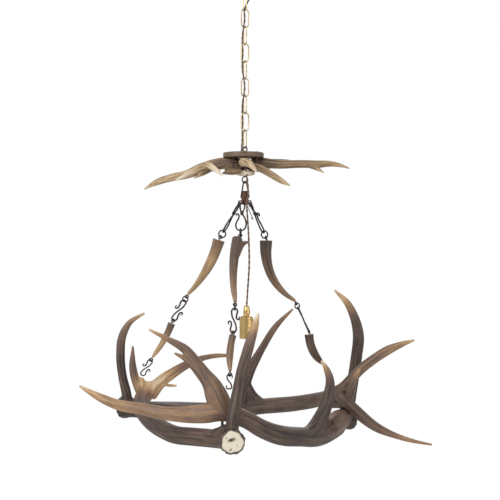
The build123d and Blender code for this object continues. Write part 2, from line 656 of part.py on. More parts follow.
for side, name in ((-1, "left"), (1, "right")):
    with BuildPart() as contact_pin:
        with BuildSketch(Plane.XY.offset(insert_bottom - pin_stand_out)):
            with Locations((flex_x + side * pin_spacing / 2, flex_y)):
                Circle(pin_radius)
        extrude(amount=pin_length)
        tip = contact_pin.edges().filter_by(GeomType.CIRCLE).sort_by(Axis.Z)[0]
        fillet(tip, pin_radius * 0.5)
    save(contact_pin, f"contact_pin_{name}")

with BuildPart() as terminal_screws:
    with BuildSketch(Plane.XY.offset(insert_top - terminal_height)):
        with Locations((flex_x, flex_y - 6), (flex_x, flex_y + 6)):
            Circle(terminal_radius)
    extrude(amount=terminal_height + 1)
save(terminal_screws, "terminal_screws")

# ---------------------------------------------------------------- flex
# Twisted two-core flex. It leaves the plate, winds down beside the links, always on their left,
# now before and now behind, and drops through the corona to the hub.
weave_points = [(plate_flex_reach, 0, 0), (plate_flex_reach, -1, -14), (19, -4, -30)]
turn = radians(chain_turn)


def beside_chain(across, out, level):
    """A point near the chain, measured along the face of the even links and square to it."""
    return (across * cos(turn) + out * sin(turn), across * sin(turn) - out * cos(turn), level)


link_middles = [top - (link_length - link_wire) / 2 for top in link_tops]
weave_points.append(beside_chain(7.4, 9.5, link_middles[0] + 4))
for number in range(2, link_count):
    side = 1 if number % 4 else -1
    meeting = link_middles[number - 1] + link_step / 2
    if number % 2 == 0:
        weave_points.append(beside_chain(-5.0, 5.0 * side, meeting))
        weave_points.append(beside_chain(-2.6, 6.2 * side, link_middles[number - 1]))
        weave_points.append(beside_chain(-5.0, 5.0 * side, meeting - link_step))
    else:
        weave_points.append(beside_chain(-6.8, 0, link_middles[number - 1]))
weave_points.append(beside_chain(-6.8, 1.0, link_middles[-1]))
weave_points.append((*disc_flex, disc_top + 7))
weave_points.append((*disc_flex, disc_bottom - 3))
weave_points.append((*boss_flex, boss_top + 5))
weave_points.append((*boss_flex, boss_bottom))
flex_run("flex_in_chain", weave_points)

flex_run("flex_at_hub", [(boss_flex[0], boss_flex[1], boss_bottom - touch_gap),
                         (6.5, -14, boss_bottom - 20), (8.5, -15.5, boss_bottom - 42),
                         (flex_x, flex_y, bobbin_bottom + 6), (flex_x, flex_y + 0.1, bobbin_bottom - 3)])

drop_top = bobbin_bottom - 3 - touch_gap
flex_run("flex_drop", [(flex_x, flex_y, drop_top), (flex_x + 3.4, flex_y - 1, drop_top - 46),
                       (flex_x + 5.5, flex_y + 1, drop_top - 92),
                       (flex_x + 6.4, flex_y + 0.5, drop_top - 140),
                       (flex_x + 2.6, flex_y - 1, drop_top - 190),
                       (flex_x, flex_y, grip_top + touch_gap)])
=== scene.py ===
import math

import bpy
import numpy as np
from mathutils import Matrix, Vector


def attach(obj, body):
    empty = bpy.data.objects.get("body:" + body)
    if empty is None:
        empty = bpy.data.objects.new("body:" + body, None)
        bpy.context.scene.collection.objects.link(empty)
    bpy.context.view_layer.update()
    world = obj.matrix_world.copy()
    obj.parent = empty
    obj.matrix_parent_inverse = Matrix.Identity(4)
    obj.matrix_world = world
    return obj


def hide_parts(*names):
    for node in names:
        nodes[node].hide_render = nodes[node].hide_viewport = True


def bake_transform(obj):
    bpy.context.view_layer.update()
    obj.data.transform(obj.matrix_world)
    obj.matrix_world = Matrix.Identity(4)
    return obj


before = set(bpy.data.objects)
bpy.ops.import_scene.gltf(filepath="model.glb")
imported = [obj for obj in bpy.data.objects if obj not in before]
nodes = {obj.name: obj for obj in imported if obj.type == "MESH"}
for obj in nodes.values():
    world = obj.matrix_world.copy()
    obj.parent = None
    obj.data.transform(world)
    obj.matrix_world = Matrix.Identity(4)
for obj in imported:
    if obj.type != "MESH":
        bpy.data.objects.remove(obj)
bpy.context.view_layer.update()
scene = bpy.context.scene

# ---------------------------------------------------------------- camera
# The photograph's place: level with the middle of the strings, 3 m away, on a short telephoto.
camera_aside, camera_distance, camera_level = 0.01175, 3.0, -0.650
camera_data = bpy.data.cameras.new("camera")
camera_data.sensor_width = 36.0
camera_data.lens = 91.9
camera_data.clip_end = 60.0
camera = bpy.data.objects.new("camera", camera_data)
camera.location = (camera_aside, -camera_distance, camera_level)
camera.rotation_euler = (math.radians(90), 0, 0)
scene.collection.objects.link(camera)
scene.camera = camera


# ---------------------------------------------------------------- studio
# A pale floor far below, soft light from the upper left, and white all round. The camera sees
# the white at full strength, and the pieces get less of it than that.
class Socket:
    """A value in a finish; arithmetic on it adds the Math nodes."""

    def __init__(self, finish, output):
        self.finish = finish
        self.output = output

    def _math(self, operation, *values, clamp=False):
        return self.finish.add("ShaderNodeMath", *values, operation=operation, use_clamp=clamp)

    def __add__(self, other):
        return self._math("ADD", self, other)

    def __sub__(self, other):
        return self._math("SUBTRACT", self, other)

    def __rsub__(self, other):
        return self._math("SUBTRACT", other, self)

    def __mul__(self, other):
        return self._math("MULTIPLY", self, other)

    def held(self):
        """The value kept between 0 and 1."""
        return self._math("ADD", self, 0.0, clamp=True)

    __radd__ = __add__
    __rmul__ = __mul__


class Finish:
    """A material and the one way that nodes are added to it."""

    def __init__(self, name, tree=None):
        self.material = None
        if tree is None:
            self.material = bpy.data.materials.new(name)
            self.material.use_nodes = True
            tree = self.material.node_tree
        self.tree = tree
        self.surface = tree.nodes.get("Principled BSDF")

    def add(self, kind, *values, output=0, **settings):
        """Add a node; settings go on it first, then values or links on its sockets in order."""
        node = self.tree.nodes.new(kind)
        stops = settings.pop("stops", None)
        named = settings.pop("sockets", {})
        for key, value in settings.items():
            setattr(node, key, value)
        if stops:
            ramp = node.color_ramp
            while len(ramp.elements) < len(stops):
                ramp.elements.new(0.5)
            for element, (place, colour) in zip(ramp.elements, stops):
                element.position = place
                element.color = (*colour, 1.0)
        for key, value in list(enumerate(values)) + list(named.items()):
            self.put(value, node.inputs[key])
        return Socket(self, node.outputs[output])

    def put(self, value, target):
        """Link a value to a socket, or set it there."""
        if isinstance(value, Socket):
            self.tree.links.new(value.output, target)
        elif isinstance(value, tuple) and target.type == "RGBA" and len(value) == 3:
            target.default_value = (*value, 1.0)
        elif value is not None:
            target.default_value = value

    def dress(self, **sockets):
        """Set or link the surface's own sockets, with spaces in their names as underscores."""
        for key, value in sockets.items():
            self.put(value, self.surface.inputs[key.replace("_", " ")])
        return self

    def place(self, name=None):
        """Where a point is: in the object, or as an attribute of the mesh says."""
        if name is None:
            return self.add("ShaderNodeTexCoord", output="Object")
        return self.add("ShaderNodeAttribute", attribute_name=name, output="Vector")

    def mark(self, name):
        """A number that the mesh keeps at each point."""
        return self.add("ShaderNodeAttribute", attribute_name=name, output="Fac")

    def stretch(self, where, scale):
        """A place with each of its directions scaled."""
        return self.add("ShaderNodeVectorMath", where, scale, operation="MULTIPLY")

    def noise(self, where, scale, detail=3.0, roughness=0.55):
        """Soft noise round 0.5."""
        return self.add("ShaderNodeTexNoise", sockets={
            "Vector": where, "Scale": scale, "Detail": detail, "Roughness": roughness})

    def blend(self, share, first, second):
        """A colour between two others."""
        return self.add("ShaderNodeMix", data_type="RGBA", output=2, sockets={
            0: share, 6: first, 7: second})

    def ramp(self, share, *stops):
        """A colour read off a row of stops."""
        return self.add("ShaderNodeValToRGB", share, stops=stops)

    def bump(self, height, distance, strength=1.0):
        """A normal that stands up with a height."""
        return self.add("ShaderNodeBump", sockets={
            "Height": height, "Distance": distance, "Strength": strength})


def colour(code):
    """A colour as it is written on the web, as Blender's linear one."""
    parts = [int(code[k:k + 2], 16) / 255 for k in (0, 2, 4)]
    return tuple(p / 12.92 if p <= 0.04045 else ((p + 0.055) / 1.055) ** 2.4 for p in parts)


world = bpy.data.worlds.new("studio")
world.use_nodes = True
scene.world = world
sky = Finish("studio", world.node_tree)
rays = sky.tree.nodes.new("ShaderNodeLightPath")
seen = sky.add("ShaderNodeMath", Socket(sky, rays.outputs["Is Camera Ray"]),
               Socket(sky, rays.outputs["Is Glossy Ray"]) * 0.55, operation="MAXIMUM")
sky.put((1.0, 1.0, 1.0), sky.tree.nodes["Background"].inputs["Color"])
sky.put(seen * 0.55 + 0.45, sky.tree.nodes["Background"].inputs["Strength"])
scene.view_settings.view_transform = "Standard"


def lamp(name, place, aim, size, power):
    """A square soft lamp that looks at a point."""
    data = bpy.data.lights.new(name, "AREA")
    data.size = size
    data.energy = power
    light = bpy.data.objects.new(name, data)
    light.location = place
    light.rotation_euler = (Vector(aim) - Vector(place)).to_track_quat("-Z", "Y").to_euler()
    scene.collection.objects.link(light)


lamp("key_lamp", (-1.9, -2.3, 0.9), (0, 0, -0.75), 1.6, 62)
lamp("fill_lamp", (2.4, -2.2, -0.3), (0, 0, -0.8), 2.0, 16)
lamp("back_lamp", (0.6, 2.6, 0.6), (0, 0, -0.8), 1.8, 26)


def shell(name, points, faces, finish=None):
    """A mesh object from points and faces, smooth, in one finish."""
    mesh = bpy.data.meshes.new(name)
    mesh.from_pydata(np.asarray(points).tolist(), [], faces)
    mesh.polygons.foreach_set("use_smooth", [True] * len(mesh.polygons))
    piece = bpy.data.objects.new(name, mesh)
    scene.collection.objects.link(piece)
    if finish:
        mesh.materials.append(finish.material)
    return piece


floor_level = -1.95
floor_reach = 3.0
floor_corners = 96
floor_finish = Finish("studio_floor").dress(Base_Color=colour("f4f3f1"), Roughness=0.8)
rim = [(floor_reach * math.cos(a), floor_reach * math.sin(a), floor_level)
       for a in np.linspace(0, 2 * math.pi, floor_corners + 1)[:-1]]
floor = shell("floor", rim, [list(range(floor_corners))], floor_finish)

# ---------------------------------------------------------------- ceiling plate, hook and chain
# A turned brass plate is screwed to the ceiling and holds a bent hook of black iron. Nine oval
# links of brass wire, dulled with age, hang from it. Their shapes come from the frame, and only
# their metals are made here.
brass = Finish("aged_brass")
where = brass.place()
cloud = brass.noise(where, 38.0, 5.0)
grain = brass.noise(where, 420.0, 2.0)
tarnish = ((cloud - 0.44) * 3.4 + (grain - 0.5) * 0.6).held()
brass.dress(Metallic=1.0, Roughness=tarnish * 0.22 + 0.24,
            Base_Color=brass.blend(tarnish, colour("cdbb92"), colour("85704c")),
            Normal=brass.bump(grain, 0.0003, 0.25))

iron = Finish("waxed_iron")
where = iron.place()
scale_marks = iron.noise(where, 220.0, 4.0, 0.6)
rust = ((iron.noise(where, 46.0, 5.0, 0.65) - 0.5) * 4.0).held()
iron.dress(Metallic=0.5, Roughness=rust * 0.2 + 0.4,
           Base_Color=iron.blend(rust, colour("332d2b"), colour("5a4133")),
           Normal=iron.bump(scale_marks, 0.0008, 0.6))


def repaint(finish, *names):
    """Give CAD nodes whose shape is right a finish of their own."""
    for name in names:
        mesh = nodes[name].data
        mesh.materials.clear()
        mesh.materials.append(finish.material)
        mesh.polygons.foreach_set("material_index", [0] * len(mesh.polygons))


link_count = 9
repaint(brass, "ceiling_plate", *[f"chain_link_{k}" for k in range(1, link_count + 1)])
repaint(iron, "ceiling_hook", "corona_washer", "corona_eye_bolt", "corona_screws", "hub_hoop",
        "antler_pegs")


# ---------------------------------------------------------------- flex
# Two cloth-covered cores twisted together. They leave a hole in the ceiling plate, weave down the
# chain, pass through the disc and the clip on the hub, and hang free to the lampholder's grip.
# Lengths are in millimetres from here on, except where a mesh or a call on the frame takes metres.
def smooth_line(knots, step):
    """A smooth run through knots, in even steps: x, y, z, then whatever changes along it."""
    knots = np.array(knots, float)
    gaps = np.linalg.norm(np.diff(knots[:, :3], axis=0), axis=1)
    reach = np.concatenate([[0], np.cumsum(gaps)])
    slopes = np.gradient(knots, reach, axis=0)
    fine = np.linspace(0, reach[-1], max(16, int(reach[-1] / step * 3)))
    before = np.clip(np.searchsorted(reach, fine, side="right") - 1, 0, len(gaps) - 1)
    gap = gaps[before][:, None]
    t = (fine[:, None] - reach[before][:, None]) / gap
    run = ((2 * t ** 3 - 3 * t ** 2 + 1) * knots[before] + (t ** 3 - 2 * t ** 2 + t) * gap
           * slopes[before] + (3 * t ** 2 - 2 * t ** 3) * knots[before + 1]
           + (t ** 3 - t ** 2) * gap * slopes[before + 1])
    walked = walk(run)
    even = np.linspace(0, walked[-1], max(4, int(walked[-1] / step)))
    return np.stack([np.interp(even, walked, run[:, k]) for k in range(run.shape[1])], 1)


def walk(line):
    """How far along a line each of its points is."""
    return np.concatenate([[0], np.cumsum(np.linalg.norm(np.diff(line[:, :3], axis=0), axis=1))])


def directions(line):
    """At each point of a line, the way ahead and two ways square to it that turn least."""
    ahead = np.gradient(line[:, :3], axis=0)
    ahead /= np.linalg.norm(ahead, axis=1)[:, None]
    side = np.zeros_like(ahead)
    oblique = (0.31, 0.42, 0.85)  # no line here starts this way
    guess = np.cross(ahead[0], oblique)
    for k, way in enumerate(ahead):
        guess = guess - way * guess.dot(way)
        guess /= np.linalg.norm(guess)
        side[k] = guess
    return ahead, side, np.cross(ahead, side)


def skin(line, around):
    """A closed tube over a line of x, y, z, radius: its points and faces."""
    _, side, over = directions(line)
    angles = np.linspace(0, 2 * math.pi, around, endpoint=False)
    ring = side[:, None] * np.cos(angles)[:, None] + over[:, None] * np.sin(angles)[:, None]
    points = (line[:, None, :3] + ring * line[:, None, 3:4]).reshape(-1, 3)
    faces = []
    for k in range(len(line) - 1):
        low, high = k * around, (k + 1) * around
        faces += [(low + j, low + (j + 1) % around, high + (j + 1) % around, high + j)
                  for j in range(around)]
    last = (len(line) - 1) * around
    faces.append(tuple(range(around))[::-1])
    faces.append(tuple(range(last, last + around)))
    return points, faces


def joined(parts):
    """Several sets of points and faces as one."""
    points, faces, count = [], [], 0
    for some_points, some_faces in parts:
        points.append(some_points)
        faces += [tuple(i + count for i in face) for face in some_faces]
        count += len(some_points)
    return np.concatenate(points), faces


def dressed(piece, slot, body, *replaced):
    """Put a piece on its body in the place of CAD nodes."""
    if replaced:
        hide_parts(*replaced)
    if body:
        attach(piece, body)
    return piece


cloth = Finish("braided_cloth")
where = cloth.place()
threads = cloth.noise(where, 1500.0, 2.0)
faded = cloth.noise(where, 55.0, 4.0)
cloth.dress(Base_Color=cloth.blend((faded * 0.9 + (threads - 0.5) * 0.4).held(), colour("4a3529"),
                                   colour("8f725b")),
            Roughness=0.85, Sheen_Weight=0.25, Normal=cloth.bump(threads, 0.0005, 0.6))
core_radius = 1.5
core_offset = 0.8
twist_length = 27.0
core_sides = 10


def route(points):
    """The flex's line: a smooth curve that a few points pull into place, read back in mm."""
    curve = bpy.data.curves.new("route", "CURVE")
    curve.dimensions = "3D"
    spline = curve.splines.new("NURBS")
    spline.points.add(len(points) - 1)
    for point, (x, y, z) in zip(spline.points, points):
        point.co = (x / 1000, y / 1000, z / 1000, 1.0)
    spline.order_u = 3
    spline.use_endpoint_u = True
    guide = bpy.data.objects.new("route", curve)
    scene.collection.objects.link(guide)
    bpy.context.view_layer.update()
    mesh = bpy.data.meshes.new_from_object(guide.evaluated_get(bpy.context.evaluated_depsgraph_get()))
    line = np.array([vertex.co[:] for vertex in mesh.vertices]) * 1000
    bpy.data.objects.remove(guide)
    bpy.data.meshes.remove(mesh)
    return line


def twisted(line):
    """The middles of the two cores that wind round a line, with their radius."""
    _, side, over = directions(line)
    turn = (walk(line) * 2 * math.pi / twist_length)[:, None]
    swing = (side * np.cos(turn) + over * np.sin(turn)) * core_offset
    radius = np.full((len(line), 1), core_radius)
    return [np.hstack([line + swing * way, radius]) for way in (1, -1)]


def flex_piece(name, cores, first, last, node, body):
    """The stretch of both cores between two points of their line."""
    points, faces = joined([skin(core[first:last + 1], core_sides) for core in cores])
    piece = shell(name, points / 1000, faces, cloth)
    return dressed(piece, "flex_cloth", body, node)


def bending_flex(name, line, joints, node):
    """Cut a flex into pieces at the levels halfway between joints, one piece round each joint."""
    cores = twisted(line)
    borders = [0]
    for (_, _, level), (_, _, next_level) in zip(joints, joints[1:]):
        middle = (level + next_level) / 2
        borders.append(int(np.argmin(np.abs(line[:, 2] - middle))))
    borders.append(len(line) - 1)
    for number, (above, below, level) in enumerate(joints):
        piece = flex_piece(f"{name}_{number + 1}", cores, borders[number], borders[number + 1],
                           node, None)
        (level + bend_reach) / 1000
        (level - bend_reach) / 1000
        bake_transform(piece)


bend_reach = 9.0
hook_low = -47.5
link_length, link_wire, hook_wire, touch_gap = 46.4, 2.8, 5.0, 0.3
eye_above_disc, corona_depth = 10.2, 55.0
chain_turn = math.radians(22.0)
link_step = link_length - 2 * link_wire - touch_gap
first_link_top = hook_low + (hook_wire + link_wire) / 2 + touch_gap
link_middles = [first_link_top - k * link_step - (link_length - link_wire) / 2
                for k in range(link_count)]
link_lows = [middle - (link_length - link_wire) / 2 for middle in link_middles]
disc_top = link_lows[-1] - eye_above_disc
boss_bottom = disc_top - corona_depth


def beside_chain(across, out, level):
    """A point near the chain, measured along the face of the even links and square to it."""
    return (across * math.cos(chain_turn) + out * math.sin(chain_turn),
            across * math.sin(chain_turn) - out * math.cos(chain_turn), level)


weave = [(24, 0, 0), (24, -1, -14), (19, -4, -30), beside_chain(7.4, 9.5, link_middles[0] + 4)]
for number in range(2, link_count):
    face = 1 if number % 4 else -1
    meeting = link_middles[number - 1] + link_step / 2
    if number % 2 == 0:
        weave.append(beside_chain(-5.0, 5.0 * face, meeting))
        weave.append(beside_chain(-2.6, 6.2 * face, link_middles[number - 1]))
        weave.append(beside_chain(-5.0, 5.0 * face, meeting - link_step))
    else:
        weave.append(beside_chain(-6.8, 0, link_middles[number - 1]))
weave += [beside_chain(-6.8, 1.0, link_middles[-1]), (-8, -9, disc_top + 7), (-8, -9, disc_top - 15),
          (4, -12.5, disc_top - 37), (4, -12.5, boss_bottom)]
bodies_down = ["ceiling"] + [f"link_{k}" for k in range(1, link_count + 1)] + ["corona"]
chain_joints = list(zip(bodies_down, bodies_down[1:], [hook_low] + link_lows))
bending_flex("chain_flex", route(weave), chain_joints, "flex_in_chain")

flex_x, flex_y = 4.0, -14.5
low_eye_height, hoop_lap, hoop_height, bobbin_below_bar = 16.5, 3.55, 39.0, 16.0
low_eye_bottom = boss_bottom - low_eye_height
bar_level = low_eye_bottom + hoop_lap - hoop_height
bobbin_bottom = bar_level - bobbin_below_bar
bending_flex("hub_flex", route([
    (4, -12.5, boss_bottom - touch_gap), (6.5, -14, boss_bottom - 20), (8.5, -15.5, boss_bottom - 42),
    (flex_x, flex_y, bobbin_bottom + 6), (flex_x, flex_y + 0.1, bobbin_bottom - 3)]),
    [("corona", "hoop", low_eye_bottom), ("hoop", "antler_ring", bar_level)], "flex_at_hub")

clip_depth, drop_length = 3.3, 236.0
drop_top = bobbin_bottom - clip_depth
grip_top = bobbin_bottom - drop_length
drop = route([(flex_x, flex_y, drop_top), (flex_x + 3.4, flex_y - 1, drop_top - 46),
              (flex_x + 5.5, flex_y + 1, drop_top - 92), (flex_x + 6.4, flex_y + 0.5, drop_top - 140),
              (flex_x + 2.6, flex_y - 1, drop_top - 190), (flex_x, flex_y, grip_top + touch_gap)])
flex_drop = flex_piece("lamp_flex_drop", twisted(drop), 0, len(drop) - 1, "flex_drop", "lamp_flex")


# ---------------------------------------------------------------- corona
# Six pieces of red deer antler are screwed under a stained wooden disc, round the iron eye bolt,
# which also holds a pale slice of antler below them. Antler is grown over lines: its forks are
# rounded off, ridges run along it, and it is pale where it is worn.
def keep(mesh, name, values):
    """Store a number or a vector at each point of a mesh."""
    kind, key = ("FLOAT_VECTOR", "vector") if values.ndim == 2 else ("FLOAT", "value")
    mesh.attributes.new(name, kind, "POINT").data.foreach_set(
        key, values.astype(np.float32).ravel())


class Growth:
    """One skin over stretches of x, y, z, radius, tone in mm, and what is known at its points."""

    def __init__(self, name, stretches, cell):
        step, around = 3.0, 28
        self.runs = [smooth_line(stretch, step) for stretch in stretches]
        points, faces = joined([skin(run, around) for run in self.runs])
        raw = shell(name + "_raw", points / 1000, faces)
        remesh = raw.modifiers.new("one_skin", "REMESH")
        remesh.mode = "VOXEL"
        remesh.voxel_size = cell / 1000
        bpy.context.view_layer.update()
        self.mesh = bpy.data.meshes.new_from_object(
            raw.evaluated_get(bpy.context.evaluated_depsgraph_get()))
        self.mesh.name = name
        bpy.data.objects.remove(raw)
        self.count = len(self.mesh.vertices)
        at = np.zeros(self.count * 3, np.float32)
        self.mesh.vertices.foreach_get("co", at)
        self.at = at.reshape(-1, 3).astype(float) * 1000
        edges = np.zeros(len(self.mesh.edges) * 2, np.int32)
        self.mesh.edges.foreach_get("vertices", edges)
        self.edges = edges.reshape(-1, 2)
        self.valence = np.maximum(np.bincount(edges, minlength=self.count), 1)[:, None]

    def spread(self, values):
        """Each point's value as its neighbours' mean."""
        one, other = self.edges.T
        return np.stack([np.bincount(one, column[other], self.count)
                         + np.bincount(other, column[one], self.count)
                         for column in values.T], 1) / self.valence

    def measure(self):
        """For each stretch: how far each point stands off it, and where along and round it."""
        self.found = []
        batch = 20000
        for run in self.runs:
            ahead, side, over = directions(run)
            close = np.empty(self.count, int)
            for start in range(0, self.count, batch):
                some = self.at[start:start + batch]
                away = ((some ** 2).sum(1)[:, None] - 2 * some @ run[:, :3].T
                        + (run[:, :3] ** 2).sum(1))
                close[start:start + batch] = away.argmin(1)
            offset = self.at - run[close, :3]
            on = (offset * ahead[close]).sum(1)
            across = offset - ahead[close] * on[:, None]
            past = np.where((close == 0) | (close == len(run) - 1), np.abs(on), 0)
            walked = walk(run)
            self.found.append(dict(
                off=np.hypot(np.linalg.norm(across, axis=1), past) - run[close, 3],
                along=walked[close] + on, total=walked[-1], tone=run[close, 4],
                x=(across * side[close]).sum(1), y=(across * over[close]).sum(1)))
        self.off = np.stack([found["off"] for found in self.found])

    def settle(self, fillet):
        """Round the forks off, and take the voxels' steps out of the rest."""
        far, rounds, fork_pull, plain_pull = 99.0, 16, 0.55, 0.04
        for _ in range(2):
            self.measure()
            near = np.sort(self.off, axis=0)
            second = near[1] - np.minimum(near[0], 0) if len(near) > 1 else np.full(self.count, far)
            self.fork = np.clip(1 - second / fillet, 0, 1)
            pull = (fork_pull * self.fork + plain_pull)[:, None]
            for _ in range(rounds):
                self.at += (self.spread(self.at) - self.at) * pull
        self.measure()

    def put(self):
        """Move the mesh's points to where they are now."""
        self.mesh.vertices.foreach_set("co", (self.at / 1000).astype(np.float32).ravel())
        self.mesh.update()

    def normals(self):
        """The mesh's own normals where its points are now."""
        self.put()
        normal = np.zeros(self.count * 3, np.float32)
        self.mesh.vertices.foreach_get("normal", normal)
        return normal.reshape(-1, 3)


def ridges(random, angle, along):
    """Rounded crests and sharp grooves that wander as they run along a beam."""
    wave = np.zeros(len(angle))
    for turns in (5, 7, 10, 13, 17, 22):
        phase, drift, length = random.uniform(0, 6.28, 3)
        wave += np.cos(turns * angle + phase + 1.3 * np.sin(along / (38 + 9 * length) + drift)
                       + 0.5 * np.sin(along / 17 + phase)) * (8 / (8 + turns))
    wave /= 2.0
    high = np.clip(wave - 0.35, 0, None)
    deep = np.clip(-wave - 0.45, 0, None)
    return wave - 1.1 * high - 0.9 * deep ** 2


def burr_swell(random, angle, along):
    """The knobs of a burr's collar, and the pearls on the beam next to it."""
    knob = sum(np.cos(turns * angle + random.uniform(0, 6.28)
                      + 0.9 * np.sin(3 * angle + random.uniform(0, 6.28)))
               for turns in (5, 9, 14))
    collar_middle, collar_width = 8, 8.0
    window = np.exp(-((along - collar_middle) / collar_width) ** 2)
    pearls = (np.cos(15 * angle + along / 3.1) * np.cos(9 * angle - along / 2.3 + 1.0)
              * np.exp(-np.clip(along - 14, 0, None) / 42.0) * (along > 12))
    return 0.5 * knob * window + 1.1 * np.clip(pearls, 0, 1)


# Pits in a burr's face: across, up, width and height, in shares of the face's radius.
pits = [(-0.08, 0.14, 0.34, 0.13), (0.12, 0.26, 0.12, 0.10), (-0.14, -0.62, 0.07, 0.06),
        (0.4, -0.3, 0.04, 0.04), (-0.5, 0.3, 0.04, 0.05)]
pit_depth = 3.0


def end_face(growth, pitted):
    """How far each point is in the pale face at the first stretch's end, and in a pit of it."""
    start, first = growth.runs[0][0], growth.found[0]
    ahead = directions(growth.runs[0])[0][0]
    up = Vector((0, 0, 1)) - Vector(ahead) * ahead[2] + Vector((0, 0.001, 0))
    up = np.array(up.normalized())
    right = np.cross(ahead, up)
    offset = growth.at - start[:3]
    x, y = offset @ right / start[3], offset @ up / start[3]
    face = np.clip(1.6 - first["along"], 0, 1) * (first["off"] < 6)
    angle = np.arctan2(y, x)
    rim = 0.9 + 0.04 * np.cos(3 * angle + 1) + 0.03 * np.cos(7 * angle)
    cut = face * np.clip((rim - np.hypot(x, y)) * 14, 0, 1)
    pit = np.zeros(growth.count)
    if pitted:
        for across, rise, wide, high in pits:
            reach = np.hypot((x - across) / wide, (y - rise - 0.25 * (x - across)) / high)
            pit = np.maximum(pit, np.clip(1.5 - reach + 0.25 * np.cos(3 * angle), 0, 1))
    return cut, pit * face


def grow(name, base, stretches, finish, cell=1.6, ridge=0.8, seed=1, burr=False, fillet=10.0,
         sawn=False):
    """A piece of antler or horn from a base; its tone is 0 where dark and 1 at a worn tip.

    A burr is a shed antler's: a rough collar round a pale face. A sawn end is only flat and pale.
    """
    random = np.random.default_rng(seed)
    growth = Growth(name, [[(x + base[0], y + base[1], z + base[2], *rest)
                            for x, y, z, *rest in stretch] for stretch in stretches], cell)
    growth.settle(fillet)
    count, off = growth.count, growth.off
    owner = off.argmin(0)
    mix_reach, lay_apart, fork_calm = 6.0, 400, 0.8
    share = np.exp(-np.clip(off, 0, None) / mix_reach)
    share /= share.sum(0)
    tone = sum(part * found["tone"] for part, found in zip(share, growth.found))
    relief, swell, lay = np.zeros(count), np.zeros(count), np.zeros((count, 3))
    for k, found in enumerate(growth.found):
        angle, along = np.arctan2(found["y"], found["x"]), found["along"]
        crest = ridges(random, angle, along)
        smooth_tip = 0.42 * found["total"]
        worn = np.clip((found["total"] - along) / smooth_tip, 0, 1) ** 1.3
        if sawn:
            worn = np.full(count, 1.0)
        mine = owner == k
        relief[mine] = (crest * worn)[mine]
        lay[mine] = np.stack([found["x"], found["y"], along + lay_apart * k], 1)[mine]
        if burr and k == 0:
            swell[mine] = burr_swell(random, angle, along)[mine]
    normal = growth.normals()
    height = ridge * relief * (1 - fork_calm * growth.fork) + swell
    cut, pit = np.zeros(count), np.zeros(count)
    if burr or sawn:
        cut, pit = end_face(growth, burr)
    height = height * (1 - cut) - pit * pit_depth
    growth.at += normal * height[:, None]
    growth.put()
    mesh = growth.mesh
    mesh.polygons.foreach_set("use_smooth", [True] * len(mesh.polygons))
    keep(mesh, "tone", tone)
    # The ridges' height, with the burr's knobs, kept for the finish, which paints shade into the grooves
    # and light onto the crests by it.
    keep(mesh, "relief", relief * 0.5 + 0.5 + swell * 0.12)
    keep(mesh, "lay", lay / 1000)
    keep(mesh, "cut", cut)
    keep(mesh, "pit", pit)
    mesh.materials.clear()
    mesh.materials.append(finish.material)
    piece = bpy.data.objects.new(name, mesh)
    scene.collection.objects.link(piece)
    return piece


def bone_finish(name, stops, streak=1.0, roughness=0.6, relief_shade=0.5, bone=("f3ead8", "e2d3b8")):
    """Antler or horn: darker in its grooves as painted shade, streaked along its growth, worn pale at the
    tips.
    """
    finish = Finish(name)
    lay = finish.place("lay")
    streaks = finish.noise(finish.stretch(lay, (1.0, 1.0, 0.07)), 330.0, 5.0, 0.68)
    hairs = finish.noise(finish.stretch(lay, (1.0, 1.0, 0.05)), 900.0, 3.0, 0.6)
    bands = finish.noise(finish.stretch(lay, (1.0, 1.0, 0.14)), 90.0, 3.0)
    cloud = finish.noise(finish.place(), 17.0, 4.0)
    pores = finish.noise(finish.place(), 1100.0, 2.0)
    relief = finish.mark("relief")
    tone = finish.mark("tone")
    # The relief term is painted light and shade: grooves darker, crests and burr knobs lighter.
    shade = (tone + (streaks - 0.5) * (1.0 * streak) + (hairs - 0.5) * (0.5 * streak)
             + (bands - 0.5) * 0.36 + (cloud - 0.5) * 0.4 + (relief - 0.5) * relief_shade).held()
    body = finish.ramp(shade, *[(place, colour(code)) for place, code in stops])
    face = finish.blend((pores * 1.5 - 0.35).held(), colour(bone[0]), colour(bone[1]))
    # The pits are painted dark brown: painted shade in their hollows.
    face = finish.blend(finish.mark("pit"), face, colour("4a3526"))
    return finish.dress(
        Base_Color=finish.blend(finish.mark("cut"), body, face),
        Roughness=((streaks - 0.5) * 0.3 - tone * 0.14 + roughness).held(),
        Normal=finish.bump(streaks * 0.7 + hairs * 0.35 + pores * 0.2, 0.0012, 0.6))


dark_wood = Finish("dark_wood")
where = dark_wood.stretch(dark_wood.place(), (1.0, 9.0, 9.0))
rings = dark_wood.noise(where, 14.0, 6.0, 0.6)
dark_wood.dress(Base_Color=dark_wood.ramp(rings, (0.3, colour("4c3c32")), (0.55, colour("7d6855")),
                                          (0.75, colour("46382e"))),
                Roughness=rings * 0.3 + 0.4, Normal=dark_wood.bump(rings, 0.0012, 0.6))
repaint(dark_wood, "corona_disc")

